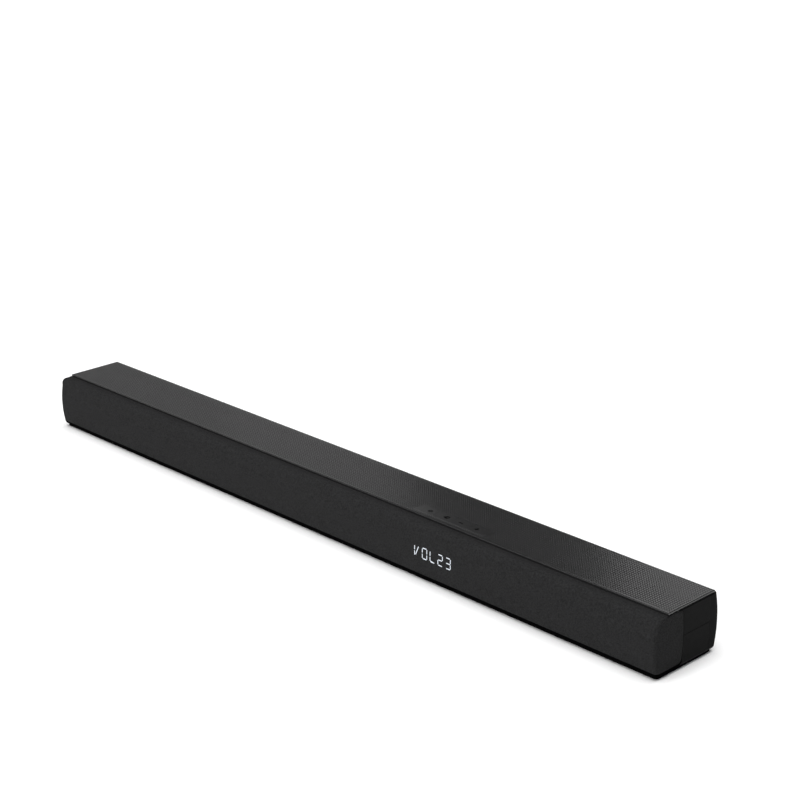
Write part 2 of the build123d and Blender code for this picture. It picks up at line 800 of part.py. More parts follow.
with BuildPart() as hdmi_sockets:
    for x in hdmi_x:
        socket_shell(x, hdmi_size)
        with Locations((x, mouth_y, main_top + hdmi_size[2] / 2)):
            Box(14, 16, 4.5, mode=Mode.SUBTRACT)
        with Locations((x, mouth_y - 6, main_top + hdmi_size[2] / 2)):
            Box(11, 9, 1.6)
        with Locations((x, mouth_y - 9.5, main_top + hdmi_size[2] / 2)):
            Box(14.4, 4, 5)
save(hdmi_sockets, "hdmi_sockets")

with BuildPart() as optical_socket:
    optical_face_y = bay_floor_y - 0.1
    socket_shell(optical_x, optical_size, optical_face_y)
    with Locations((optical_x, optical_face_y, main_top + optical_size[2] / 2)):
        Box(optical_mouth, 14, optical_mouth, mode=Mode.SUBTRACT)
save(optical_socket, "optical_socket")

with BuildPart() as usb_socket:
    socket_shell(usb_x, usb_size)
    with Locations((usb_x, mouth_y, main_top + usb_size[2] / 2)):
        Box(12.5, 18, 5.1, mode=Mode.SUBTRACT)
    with Locations((usb_x, mouth_y - 6, main_top + usb_size[2] / 2 + 0.7)):
        Box(11, 10, 1.8)
    with Locations((usb_x, mouth_y - 10.5, main_top + usb_size[2] / 2)):
        Box(13, 4, 6)
save(usb_socket, "usb_socket")

with BuildPart() as aux_socket:
    socket_shell(aux_x, aux_size)
    aux_z = main_top + aux_size[2] / 2
    rod((aux_x, mouth_y, aux_z), (aux_x, mouth_y + 1.2, aux_z), 3.4)
    rod((aux_x, mouth_y - 11, aux_z), (aux_x, mouth_y + 2, aux_z), 1.8, mode=Mode.SUBTRACT)
save(aux_socket, "aux_socket")

inlet_back_y = mouth_y - inlet_size[1]

with BuildPart() as ac_inlet:
    with Locations((power_bay_x, (inlet_back_y + mouth_y) / 2, bay_z)):
        Box(*inlet_size)
    with BuildSketch(at_depth(bay_floor_y + bay_floor + 0.05)):
        with Locations((power_bay_x, bay_z)):
            RectangleRounded(30, 20, 3)
    extrude(amount=-2)
    with BuildSketch(at_depth(inlet_back_y + 3)):
        with Locations((power_bay_x, bay_z)):
            SlotOverall(17, 9.6)
    extrude(amount=-20, mode=Mode.SUBTRACT)
    for x in (power_bay_x - 5.2, power_bay_x + 5.2):
        rod((x, inlet_back_y + 2, bay_z), (x, mouth_y - 1, bay_z), 1.2)
save(ac_inlet, "ac_inlet")

# =====================================================================================
# Base plate, feet and fasteners
# =====================================================================================

foot_points = [(x, y) for x in foot_x for y in (-foot_y, foot_y)]

with BuildPart() as base_plate:
    with BuildSketch(Plane.XY.offset(base_low)):
        RectangleRounded(2 * base_half_length, 2 * base_half_depth, base_corner_radius)
        with Locations([(x, boss_y) for x in boss_x]):
            Circle(clear_radius, mode=Mode.SUBTRACT)
    extrude(amount=base_high - base_low)
    with BuildSketch(Plane.XY):
        with Locations(foot_points):
            RectangleRounded(foot_size[0] + 0.2, foot_size[1] + 0.2, 3)
    extrude(amount=foot_size[2], mode=Mode.SUBTRACT)
    with BuildSketch(Plane.XY):
        with Locations([(x, boss_y) for x in boss_x]):
            Circle(screw_head_radius + 0.4)
    extrude(amount=base_high - 0.8, mode=Mode.SUBTRACT)
save(base_plate, "base_plate")

with BuildPart() as rubber_feet:
    with BuildSketch(Plane.XY):
        with Locations(foot_points):
            RectangleRounded(foot_size[0], foot_size[1], 3)
    extrude(amount=foot_size[2])
save(rubber_feet, "rubber_feet")


def screw(head, tip, head_radius=screw_head_radius, head_height=1.6):
    """Pan-head screw with a cross recess; head is the point under the head."""
    run = Vector(*tip) - Vector(*head)
    top = Vector(*head) - run.normalized() * head_height
    rod(tuple(top), head, head_radius)
    rod(head, tip, screw_radius)
    with Locations(Plane(origin=tuple(top), z_dir=run)):
        Box(3.2, 0.7, 1.6, mode=Mode.SUBTRACT)
        Box(0.7, 3.2, 1.6, mode=Mode.SUBTRACT)


with BuildPart() as housing_screws:
    for x in boss_x:
        screw((x, boss_y, base_high - 0.85), (x, boss_y, 48), head_height=1.0)
save(housing_screws, "housing_screws")

with BuildPart() as cover_screws:
    for x in cover_screw_x:
        screw((x, 42.05, cover_screw_z), (x, rear_seam_y - 9, cover_screw_z))
save(cover_screws, "cover_screws")

with BuildPart() as baffle_screws:
    for x in baffle_screw_x:
        for z in baffle_screw_z:
            screw((x, baffle_front_y - 0.05, z), (x, baffle_back_y + 6, z))
save(baffle_screws, "baffle_screws")

with BuildPart() as driver_screws:
    for driver_x in drivers.values():
        for x, z in driver_screw_points(driver_x):
            screw((x, baffle_front_y - 2.05, z), (x, baffle_back_y - 0.3, z), 2.4)
save(driver_screws, "driver_screws")

with BuildPart() as wall_inserts:
    for x in (-insert_x, insert_x):
        rod((x, 47.8 - insert_length, insert_z), (x, 47.8, insert_z), insert_radius)
        rod((x, 30, insert_z), (x, depth, insert_z), insert_hole_radius, mode=Mode.SUBTRACT)
save(wall_inserts, "wall_inserts")

# =====================================================================================
# Internal leads
# =====================================================================================


def lead(points, radius, bend):
    """Round lead along straight runs joined by arcs."""
    with BuildLine() as route:
        FilletPolyline(*points, radius=bend)
    with BuildSketch(Plane(origin=points[0], z_dir=route.line % 0)) as section:
        Circle(radius)
    sweep(section.sketch, path=route.line)


lead_radius = 1.1
lead_z = main_top + 1.4

with BuildPart() as speaker_leads:
    lead([(-76, 22, lead_z), (-180, 22, lead_z), (-245, 4, 28), (-279, -8, 32.5)], lead_radius, 12)
    lead([(-20, -3.2, lead_z - 5), (-36, -3, 18), (-44, -14, 24)], lead_radius, 5)
    lead([(56, 24, lead_z), (130, 24, 40), (250, 30, 54), (300, 6, 50), (336, 6, 32.5)], lead_radius, 12)
save(speaker_leads, "speaker_leads")

with BuildPart() as ribbon_cable:
    with BuildSketch(Plane.XY.offset(ribbon_z - ribbon_height / 2)):
        with BuildLine() as ribbon_route:
            FilletPolyline(
                (ribbon_x, display_back_y + 0.1 + board_thickness),
                (ribbon_x, -20),
                (155, -6),
                (110, 0),
                (main_board_box[1][0] + 0.5, 12),
                radius=8,
            )
        trace(line_width=ribbon_thickness)
    extrude(amount=ribbon_height)
save(ribbon_cable, "ribbon_cable")
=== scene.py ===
"""Looks of the soundbar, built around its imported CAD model.

The row frame is the CAD's: origin at the bottom centre, +X right along the bar, +Y to the
back, +Z up, in metres. Shapes below are worked out in millimetres and scaled once.
"""

import json
import math
from bisect import bisect_left

import bmesh
import bpy
from mathutils import Matrix, Vector


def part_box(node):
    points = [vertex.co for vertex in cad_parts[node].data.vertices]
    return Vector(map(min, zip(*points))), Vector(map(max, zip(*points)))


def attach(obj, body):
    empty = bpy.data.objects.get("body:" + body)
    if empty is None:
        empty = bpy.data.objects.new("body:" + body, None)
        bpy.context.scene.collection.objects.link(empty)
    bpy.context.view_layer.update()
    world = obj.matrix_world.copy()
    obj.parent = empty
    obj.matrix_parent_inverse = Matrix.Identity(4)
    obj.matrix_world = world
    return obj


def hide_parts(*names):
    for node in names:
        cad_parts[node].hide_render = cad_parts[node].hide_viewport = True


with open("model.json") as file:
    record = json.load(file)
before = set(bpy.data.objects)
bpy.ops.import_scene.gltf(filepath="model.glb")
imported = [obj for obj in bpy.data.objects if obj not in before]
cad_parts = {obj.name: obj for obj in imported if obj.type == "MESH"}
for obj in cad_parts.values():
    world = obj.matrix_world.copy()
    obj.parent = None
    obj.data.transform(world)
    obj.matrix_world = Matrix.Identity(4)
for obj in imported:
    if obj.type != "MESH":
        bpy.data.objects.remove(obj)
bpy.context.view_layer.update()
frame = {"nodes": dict(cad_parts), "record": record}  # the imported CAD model: bodies, nodes, joints, record

MM = 0.001
BODY = "enclosure"
KEYS = ("power_key", "input_key", "volume_down_key", "volume_up_key")


def box_mm(node):
    """Lowest and highest corners of a CAD node, in millimetres."""
    return tuple(tuple(c / MM for c in corner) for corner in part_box(node))


def mesh_piece(name, points_mm, faces, smooth=True):
    """New mesh object from points in millimetres."""
    mesh = bpy.data.meshes.new(name)
    mesh.from_pydata([tuple(c * MM for c in p) for p in points_mm], [], faces)
    mesh.validate()
    mesh.update()
    if smooth:
        mesh.shade_smooth()
    else:
        mesh.shade_flat()
    piece = bpy.data.objects.new(name, mesh)
    bpy.context.scene.collection.objects.link(piece)
    return piece


# ======================================================================================
# Materials
# ======================================================================================


class Surface:
    """A Principled material and the nodes that give it its detail."""

    def __init__(self, name, roughness=0.5, metallic=0.0, specular=0.5):
        self.material = bpy.data.materials.new(name)
        self.material.use_nodes = True
        self.tree = self.material.node_tree
        self.shader = self.tree.nodes["Principled BSDF"]
        self.shader.inputs["Roughness"].default_value = roughness
        self.shader.inputs["Metallic"].default_value = metallic
        self.shader.inputs["Specular IOR Level"].default_value = specular
        self.place = self.node("ShaderNodeTexCoord").outputs["Object"]

    def node(self, kind, **settings):
        made = self.tree.nodes.new(kind)
        for key, value in settings.items():
            setattr(made, key, value)
        return made

    def link(self, source, target):
        self.tree.links.new(source, target)

    def math(self, operation, *values):
        """One math node; each value is a number or a socket."""
        made = self.node("ShaderNodeMath", operation=operation)
        for socket, value in zip(made.inputs, values):
            if isinstance(value, (int, float)):
                socket.default_value = value
            else:
                self.link(value, socket)
        return made.outputs[0]

    def noise(self, size_mm, detail=2.0, stretch=(1, 1, 1)):
        """Noise from 0 to 1 whose lumps are about size_mm across."""
        scaled = self.node("ShaderNodeMapping")
        self.link(self.place, scaled.inputs["Vector"])
        scaled.inputs["Scale"].default_value = stretch
        made = self.node("ShaderNodeTexNoise")
        made.inputs["Scale"].default_value = 1 / (size_mm * MM)
        made.inputs["Detail"].default_value = detail
        self.link(scaled.outputs["Vector"], made.inputs["Vector"])
        return made.outputs["Fac"]

    def between(self, value, low, high, from_low, from_high):
        """value, which runs from from_low to from_high, spread over low to high."""
        made = self.node("ShaderNodeMapRange")
        self.link(value, made.inputs["Value"])
        made.inputs["From Min"].default_value = from_low
        made.inputs["From Max"].default_value = from_high
        made.inputs["To Min"].default_value = low
        made.inputs["To Max"].default_value = high
        return made.outputs["Result"]

    def colour(self, dark, light, value):
        """Base colour that runs from dark to light with value."""
        ramp = self.node("ShaderNodeMix", data_type="RGBA")
        self.link(value, ramp.inputs["Factor"])
        ramp.inputs["A"].default_value = (*dark, 1)
        ramp.inputs["B"].default_value = (*light, 1)
        self.link(ramp.outputs["Result"], self.shader.inputs["Base Color"])

    def vary_roughness(self, value, low, high):
        self.link(self.between(value, low, high, 0.3, 0.7), self.shader.inputs["Roughness"])

    def bump(self, height, depth_mm):
        made = self.node("ShaderNodeBump")
        made.inputs["Distance"].default_value = depth_mm * MM
        made.inputs["Strength"].default_value = 1.0
        self.link(height, made.inputs["Height"])
        self.link(made.outputs["Normal"], self.shader.inputs["Normal"])


def tint(colour, factor):
    """colour made darker or lighter by a factor."""
    return tuple(min(c * factor, 1.0) for c in colour)


def plastic(
    name,
    colour,
    roughness=0.45,
    grain_mm=0.35,
    depth_mm=0.012,
    spread=0.12,
    specular=0.5,
    uneven=0.05,
):
    """Moulded plastic: spark-eroded grain, faint mottling and uneven gloss."""
    s = Surface(name, roughness, specular=specular)
    mottle = s.noise(24, 3)
    s.colour(tint(colour, 1 - spread), tint(colour, 1 + spread), s.between(mottle, 0, 1, 0.3, 0.7))
    s.vary_roughness(s.noise(6, 3), roughness - uneven, roughness + uneven)
    s.bump(s.noise(grain_mm, 2), depth_mm)
    return s.material


def panel_plastic(name, roughness, specular):
    """The top's finish: smooth and even, so that it shows the light cards as broad bands."""
    return plastic(
        name,
        PANEL_TONE,
        roughness,
        depth_mm=0.002,
        spread=0.04,
        specular=specular,
        uneven=0.012,
    )


SEAM_Z = 35.1  # level seam between the two shells
SEAM_PAINTED_SHADE_FULL, SEAM_PAINTED_SHADE_GONE = 0.3, 0.75  # distance from the seam where its painted shade is full, and gone


def housing_plastic(name, colour):
    """Moulded plastic with painted shade next to the level seam, where little light gets in."""
    s = Surface(name, 0.4, specular=0.022)
    height = s.node("ShaderNodeSeparateXYZ")
    s.link(s.place, height.inputs["Vector"])
    off_seam = s.math("ABSOLUTE", s.math("SUBTRACT", height.outputs["Z"], SEAM_Z * MM))
    # painted shade: the base colour darkens to near black in a band along the seam, wider than the real gap
    clear_of_painted_shade = s.between(off_seam, 0, 1, SEAM_PAINTED_SHADE_FULL * MM, SEAM_PAINTED_SHADE_GONE * MM)
    mottle = s.between(s.noise(24, 3), 0.8, 1, 0.3, 0.7)
    s.colour(tint(colour, 0.05), tint(colour, 1.1), s.math("MULTIPLY", clear_of_painted_shade, mottle))
    s.vary_roughness(s.noise(6, 3), 0.35, 0.45)
    s.bump(s.noise(0.35, 2), 0.012)
    return s.material


def metal(name, colour, roughness=0.35, brushed=(1, 1, 1)):
    """Bare or plated metal with a brushed or rolled grain."""
    s = Surface(name, roughness, metallic=1.0)
    s.colour(tint(colour, 0.85), tint(colour, 1.1), s.noise(5, 3, brushed))
    grain = s.noise(0.8, 3, brushed)
    s.vary_roughness(grain, roughness - 0.08, roughness + 0.1)
    s.bump(grain, 0.01)
    return s.material


def rubber(name, colour, roughness=0.75):
    """Matt rubber with a fine pore."""
    s = Surface(name, roughness, specular=0.3)
    s.colour(tint(colour, 0.8), tint(colour, 1.25), s.noise(4, 4))
    s.vary_roughness(s.noise(2, 2), roughness - 0.06, roughness + 0.08)
    s.bump(s.noise(0.5, 2), 0.03)
    return s.material


def paper(name, colour):
    """Pressed pulp or dipped cloth: fibres in all directions."""
    s = Surface(name, 0.9, specular=0.2)
    fibre = s.noise(0.6, 5, (1, 3, 1))
    s.colour(tint(colour, 0.6), tint(colour, 1.4), fibre)
    s.bump(fibre, 0.08)
    return s.material


def circuit_board(name, colour):
    """Solder mask over a pattern of copper pours and tracks."""
    s = Surface(name, 0.35)
    pours = s.node("ShaderNodeTexVoronoi", feature="DISTANCE_TO_EDGE")
    pours.inputs["Scale"].default_value = 1 / (5 * MM)
    s.link(s.place, pours.inputs["Vector"])
    edge = s.between(pours.outputs["Distance"], 0, 1, 0.04, 0.07)
    s.colour(tint(colour, 0.55), tint(colour, 1.3), edge)
    s.bump(edge, 0.03)
    return s.material


def winding(name, colour):
    """Turns of enamelled wire side by side."""
    s = Surface(name, 0.3, metallic=0.8)
    turns = s.node("ShaderNodeTexWave", bands_direction="Y", wave_profile="SIN")
    turns.inputs["Scale"].default_value = 1 / (2.5 * MM)
    s.link(s.place, turns.inputs["Vector"])
    s.colour(tint(colour, 0.5), tint(colour, 1.2), turns.outputs["Fac"])
    s.bump(turns.outputs["Fac"], 0.08)
    return s.material


WEAVE_MM = 1.05  # one thread to the next


def weave_height(s):
    """Height of a plain weave over the cloth's own (across, along) coordinates, 0 to 1."""
    flat = s.node("ShaderNodeUVMap", uv_map="cloth").outputs["UV"]
    split = s.node("ShaderNodeSeparateXYZ")
    s.link(flat, split.inputs["Vector"])
    across = s.math("DIVIDE", split.outputs["X"], WEAVE_MM)
    along = s.math("DIVIDE", split.outputs["Y"], WEAVE_MM)

    def thread(over, under):
        """A thread's height where it passes over the other one."""
        lift = s.math("ADD", 0.45, s.math("MULTIPLY", under, 0.55))
        return s.math("MULTIPLY", s.math("POWER", over, 0.6), lift)

    warp = s.math("ABSOLUTE", s.math("SINE", s.math("MULTIPLY", across, math.pi)))
    weft = s.math("ABSOLUTE", s.math("SINE", s.math("MULTIPLY", along, math.pi)))
    cells = s.math("ADD", s.math("FLOOR", across), s.math("FLOOR", along))
    warp_on_top = s.math("PINGPONG", cells, 1.0)
    blend = s.node("ShaderNodeMix", data_type="FLOAT")
    s.link(warp_on_top, blend.inputs["Factor"])
    s.link(thread(weft, warp), blend.inputs["A"])
    s.link(thread(warp, weft), blend.inputs["B"])
    return blend.outputs["Result"]


def grille_cloth(name, colour):
    """Plain-woven acoustic cloth: dark gaps, melange threads and a soft sheen."""
    s = Surface(name, 0.9, specular=0.08)
    threads = weave_height(s)
    melange = s.between(s.noise(1.6, 3), 0.5, 1.5, 0.3, 0.7)
    cloudy = s.between(s.noise(14, 2), 0.94, 1.06, 0.3, 0.7)
    tone = s.math("MULTIPLY", s.math("MULTIPLY", threads, melange), cloudy)
    s.colour(tint(colour, 0.25), tint(colour, 1.75), tone)
    fuzz = s.math("MULTIPLY", s.noise(0.25, 2), 0.35)
    s.bump(s.math("ADD", threads, fuzz), 0.22)
    return s.material


def lit(name, colour, strength):
    """Light that comes out between the threads of the cloth."""
    s = Surface(name, 0.6)
    s.shader.inputs["Base Color"].default_value = (0.02, 0.02, 0.02, 1)
    grain = s.between(s.noise(0.5, 2), 0.75, 1.1, 0.3, 0.7)
    shade = s.node("ShaderNodeMix", data_type="RGBA")
    s.link(grain, shade.inputs["Factor"])
    shade.inputs["A"].default_value = (*tint(colour, 0.2), 1)
    shade.inputs["B"].default_value = (*colour, 1)
    s.link(shade.outputs["Result"], s.shader.inputs["Emission Color"])
    s.shader.inputs["Emission Strength"].default_value = strength
    return s.material


PANEL_TONE = (0.0145, 0.0145, 0.0147)
HOUSING_TONE = (0.0037, 0.0037, 0.0038)
REAR_TONE = (0.0026, 0.0026, 0.0027)

SLOT_MATERIALS = {
    "panel_plastic": lambda n: panel_plastic(n, 0.18, 0.48),
    "key_plastic": lambda n: panel_plastic(n, 0.19, 0.45),
    "housing_plastic": lambda n: housing_plastic(n, HOUSING_TONE),
    "rear_plastic": lambda n: plastic(n, REAR_TONE, 0.4, specular=0.02),
    "base_plastic": lambda n: plastic(n, (0.002, 0.002, 0.002), 0.7, specular=0.01),
    "inner_plastic": lambda n: plastic(n, (0.02, 0.02, 0.02), 0.5),
    "grille_cloth": lambda n: grille_cloth(n, (0.0154, 0.0154, 0.0158)),
    "frame_metal": lambda n: plastic(n, (0.0016, 0.0016, 0.0016), 0.6, 0.6, 0.02, specular=0.0),
    "foot_rubber": lambda n: rubber(n, (0.012, 0.012, 0.012)),
    "connector_metal": lambda n: metal(n, (0.55, 0.55, 0.56), 0.3, (1, 6, 1)),
    "socket_plastic": lambda n: plastic(n, (0.012, 0.012, 0.013), 0.3),
    "circuit_board": lambda n: circuit_board(n, (0.015, 0.09, 0.04)),
    "shield_can": lambda n: metal(n, (0.6, 0.6, 0.6), 0.35),
    "heatsink_aluminium": lambda n: metal(n, (0.62, 0.62, 0.63), 0.4, (1, 8, 1)),
    "transformer": lambda n: plastic(n, (0.30, 0.22, 0.05), 0.4, grain_mm=1.5, depth_mm=0.05),
    "capacitor_sleeve": lambda n: plastic(n, (0.02, 0.03, 0.08), 0.25),
    "key_silicone": lambda n: rubber(n, (0.2, 0.2, 0.2), 0.6),
    "lit_segments": lambda n: lit(n, (0.86, 0.92, 1.0), 1.0),
    "display_window": lambda n: plastic(n, (0.01, 0.009, 0.01), 0.1),
    "black_screws": lambda n: metal(n, (0.05, 0.05, 0.055), 0.4),
    "steel_screws": lambda n: metal(n, (0.5, 0.5, 0.5), 0.35),
    "insert_brass": lambda n: metal(n, (0.62, 0.45, 0.18), 0.3, (1, 4, 1)),
    "lead_sleeve": lambda n: rubber(n, (0.02, 0.02, 0.02), 0.5),
    "basket_steel": lambda n: plastic(n, (0.03, 0.03, 0.03), 0.4),
    "motor_ferrite": lambda n: plastic(n, (0.06, 0.06, 0.062), 0.6, grain_mm=1.0, depth_mm=0.05),
    "surround_rubber": lambda n: rubber(n, (0.012, 0.012, 0.012), 0.55),
    "spider_cloth": lambda n: paper(n, (0.40, 0.26, 0.09)),
    "cone_paper": lambda n: paper(n, (0.03, 0.03, 0.03)),
    "voice_coil": lambda n: winding(n, (0.6, 0.28, 0.1)),
}


def finish_cad_nodes():
    """Give every CAD node the material of its slot in the record."""
    made = {}
    for part in frame["record"]["subparts"]:
        slot = part["material_slot"]
        if slot not in made:
            made[slot] = SLOT_MATERIALS[slot](slot)
        for material_slot in frame["nodes"][part["node"]].material_slots:
            material_slot.link = "OBJECT"
            material_slot.material = made[slot]
    return made


# ======================================================================================
# Top panel: a field of raised cells inside a smooth border
# ======================================================================================

CELLS = (311, 20)
GROOVE_WIDTH = 1.1
GROOVE_DEPTH = 0.34
FRONT_BORDER = 3.85
OTHER_BORDER = 3.2
EDGE_ROUNDING = 0.85
SLOT_MARGIN = 0.8  # smooth rim round the key slot
SLOT_GAP = 0.15  # between the slot's edge and the keys
KEY_DEPTH = 13.6
SKIRT_HEIGHT = 2.9
PANEL_FRONT_Y = -29.5
PANEL_BACK_Y = 40.8
FIELD_MARGIN = 1.0  # how far the grooves' ends may reach past the outermost groove
SAME_LINE = 0.06  # a groove's side this near to a stop is left out


def groove_middles(low, high, count):
    return [low + (high - low) * i / count for i in range(count + 1)]


def groove_share(value, middles):
    """1 on a groove's floor line, 0 at its sides and between grooves."""
    i = bisect_left(middles, value)
    near = min(abs(value - m) for m in middles[max(i - 1, 0) : i + 1])
    return max(0.0, 1 - near / (GROOVE_WIDTH / 2))


def edge_lines(low, high):
    """Grid lines that follow the rounding at both edges of the panel."""
    steps = [EDGE_ROUNDING * (1 - math.cos(math.radians(a))) for a in (0, 25, 50, 70, 90)]
    return [low + s for s in steps] + [high - s for s in steps]


def grid_lines(low, high, middles, stops):
    """Sorted grid lines: edges, both sides and the floor of each groove, and the stops."""
    lines = edge_lines(low, high) + list(stops)
    for m in middles:
        sides = (m - GROOVE_WIDTH / 2, m, m + GROOVE_WIDTH / 2)
        lines += [v for v in sides if min(abs(v - s) for s in stops) > SAME_LINE]
    return sorted(lines)


def make_top_panel():
    (x0, _, _), (x1, _, top) = box_mm("top_panel")
    y0, y1 = PANEL_FRONT_Y, PANEL_BACK_Y
    slot_low, slot_high = key_slot()
    xs_middle = groove_middles(x0 + OTHER_BORDER, x1 - OTHER_BORDER, CELLS[0])
    ys_middle = groove_middles(y0 + FRONT_BORDER, y1 - OTHER_BORDER, CELLS[1])
    x_stops = (slot_low[0] - SLOT_MARGIN, slot_low[0], slot_high[0], slot_high[0] + SLOT_MARGIN)
    y_stops = (slot_low[1] - SLOT_MARGIN, slot_low[1], slot_high[1], slot_high[1] + SLOT_MARGIN)
    xs = grid_lines(x0, x1, xs_middle, x_stops)
    ys = grid_lines(y0, y1, ys_middle, y_stops)
    x_share = [groove_share(x, xs_middle) for x in xs]
    y_share = [groove_share(y, ys_middle) for y in ys]

    def in_range(value, middles):
        return middles[0] - FIELD_MARGIN < value < middles[-1] + FIELD_MARGIN

    def in_field(x, y):
        return in_range(x, xs_middle) and in_range(y, ys_middle)

    def near_slot(x, y):
        return x_stops[0] <= x <= x_stops[3] and y_stops[0] <= y <= y_stops[3]

    def surface_z(i, j):
        x, y = xs[i], ys[j]
        inside = min(x - x0, x1 - x, y - y0, y1 - y)
        if inside < EDGE_ROUNDING:
            drop = math.sqrt(max(0.0, EDGE_ROUNDING**2 - (EDGE_ROUNDING - inside) ** 2))
            return top - EDGE_ROUNDING + drop
        if in_field(x, y) and not near_slot(x, y):
            return top - GROOVE_DEPTH * max(x_share[i], y_share[j])
        return top

    nx, ny = len(xs), len(ys)
    points = [(xs[i], ys[j], surface_z(i, j)) for j in range(ny) for i in range(nx)]

    def at(i, j):
        return j * nx + i

    def in_slot(i, j):
        middle = ((xs[i] + xs[i + 1]) / 2, (ys[j] + ys[j + 1]) / 2)
        return all(slot_low[k] < middle[k] < slot_high[k] for k in (0, 1))

    faces = [
        (at(i, j), at(i + 1, j), at(i + 1, j + 1), at(i, j + 1))
        for j in range(ny - 1)
        for i in range(nx - 1)
        if not in_slot(i, j)
    ]

    low = top - SKIRT_HEIGHT
    outer = len(points)
    points += [(x0, y0, low), (x1, y0, low), (x1, y1, low), (x0, y1, low)]
    inner = len(points)
    sx0, sy0, sx1, sy1 = *slot_low, *slot_high
    points += [(sx0, sy0, low), (sx1, sy0, low), (sx1, sy1, low), (sx0, sy1, low)]
    i0, i1, j0, j1 = xs.index(sx0), xs.index(sx1), ys.index(sy0), ys.index(sy1)

    def walls(a, i_low, i_high, j_low, j_high):
        """The four sides below a rectangle of the grid, down to the points from a on."""
        along = range(i_low, i_high + 1)
        across = range(j_low, j_high + 1)
        front = [at(i, j_low) for i in along]
        back = [at(i, j_high) for i in along]
        left = [at(i_low, j) for j in across]
        right = [at(i_high, j) for j in across]
        return [
            (a, a + 1, *reversed(front)),
            (a + 1, a + 2, *reversed(right)),
            (a + 2, a + 3, *back),
            (a + 3, a, *left),
        ]

    faces += walls(outer, 0, nx - 1, 0, ny - 1)
    faces += [tuple(reversed(f)) for f in walls(inner, i0, i1, j0, j1)]
    for k in range(4):
        n = (k + 1) % 4
        faces.append((outer + k, inner + k, inner + n, outer + n))
    panel = mesh_piece("waffle_top_panel", points, faces, smooth=False)
    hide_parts("top_panel")
    return panel


def key_slot():
    """Lower and upper corner of the slot that the four keys fill."""
    low = box_mm(KEYS[0])[0][0] - SLOT_GAP
    high = box_mm(KEYS[-1])[1][0] + SLOT_GAP
    middle = (box_mm(KEYS[0])[0][1] + box_mm(KEYS[0])[1][1]) / 2
    half = KEY_DEPTH / 2 + SLOT_GAP
    return (low, middle - half), (high, middle + half)


# ======================================================================================
# Symbols on the keys
# ======================================================================================

LINE_WIDTH = 1.35
ARC_STEPS = 28
SYMBOL_LIFT = 0.02


def stroke(start, end):
    """A straight bar as four corner points."""
    a, b = Vector(start), Vector(end)
    side = (b - a).normalized().orthogonal() * LINE_WIDTH / 2
    return [tuple(p) for p in (a - side, b - side, b + side, a + side)]


def arc_band(radius, start, end):
    """A circular band, as a list of quads; angles in degrees."""
    quads = []
    for i in range(ARC_STEPS):
        a, b = (math.radians(start + (end - start) * (i + k) / ARC_STEPS) for k in (0, 1))
        ring = [(radius + s * LINE_WIDTH / 2) for s in (-1, 1)]
        quads.append(
            [
                (ring[0] * math.cos(a), ring[0] * math.sin(a)),
                (ring[1] * math.cos(a), ring[1] * math.sin(a)),
                (ring[1] * math.cos(b), ring[1] * math.sin(b)),
                (ring[0] * math.cos(b), ring[0] * math.sin(b)),
            ]
        )
    return quads


SYMBOLS = {
    "power_key": [*arc_band(1.9, 125, 415), stroke((0, 0.4), (0, 2.6))],
    "input_key": [
        stroke((-1.2, 2.0), (3.2, 2.0)),
        stroke((3.2, 2.4), (3.2, -2.4)),
        stroke((-1.2, -2.0), (3.2, -2.0)),
        stroke((-3.6, 0), (0.9, 0)),
        stroke((0.9, 0), (-0.6, 1.3)),
        stroke((0.9, 0), (-0.6, -1.3)),
    ],
    "volume_down_key": [stroke((-2.8, 0), (2.8, 0))],
    "volume_up_key": [stroke((-2.9, 0), (2.9, 0)), stroke((0, -2.9), (0, 2.9))],
}
SYMBOL_X = {
    "power_key": 153.5,
    "input_key": 176.3,
    "volume_down_key": 197.3,
    "volume_up_key": 219.3,
}
SYMBOL_Y = -16.7


def make_symbol(key, material):
    """Printed mark on a key's top; it goes down with the key."""
    top = box_mm(key)[1][2] + SYMBOL_LIFT
    points, faces = [], []
    for quad in SYMBOLS[key]:
        faces.append(tuple(range(len(points), len(points) + 4)))
        points += [(SYMBOL_X[key] + x, SYMBOL_Y + y, top) for x, y in quad]
    symbol = mesh_piece(key.replace("_key", "_symbol"), points, faces, smooth=False)
    symbol.data.materials.append(material)
    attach(symbol, key)


# ======================================================================================
# Grille cloth: one sheet stretched round the front and both ends
# ======================================================================================

HALF_LENGTH = 475.0
HALF_DEPTH = 47.95
CLOTH_LOW, CLOTH_HIGH = 7.4, 62.0
BODY_LOW = 3.0  # lowest point of the bulge, below the cloth's edge
MIDDLE_Z = (BODY_LOW + CLOTH_HIGH) / 2
BULGE_RADIUS = 115.0
TOP_ROUNDING = 7.0
WRAP_MIDDLE_Y, WRAP_EDGE_Y = -7.1, -8.8
WRAP_CORNER = 6.0
TOP_FLANGE_Y = -28.4
END_ROUNDING = {"top": 1.2, "front": 4.8}
CLOTH_THICKNESS = 0.6
COLUMNS = 110  # along the front
FINER = 6  # points looked at between two points of the outline
# where the columns over an end lie, from its front edge to its back edge
ACROSS_END = (0, 0.12, 0.35, 0.7, 1.2, 1.9, 2.8, 3.8, 4.8, 6.5, 9, 13, 18, 24, 30, 35, 38, 39.2, 40)
HEM = 0.2  # how far from its back edge the cloth starts to dive into the groove


def cloth_front_y(z):
    """Depth of the cloth's outer face at a height, in millimetres."""
    return -HALF_DEPTH + BULGE_RADIUS - math.sqrt(BULGE_RADIUS**2 - (z - MIDDLE_Z) ** 2)


def arc_points(centre, radius, start, end, steps):
    """Points on a circle in the (y, z) plane; angles in radians."""
    return [
        (
            centre[0] + radius * math.cos(start + (end - start) * i / steps),
            centre[1] + radius * math.sin(start + (end - start) * i / steps),
        )
        for i in range(steps + 1)
    ]


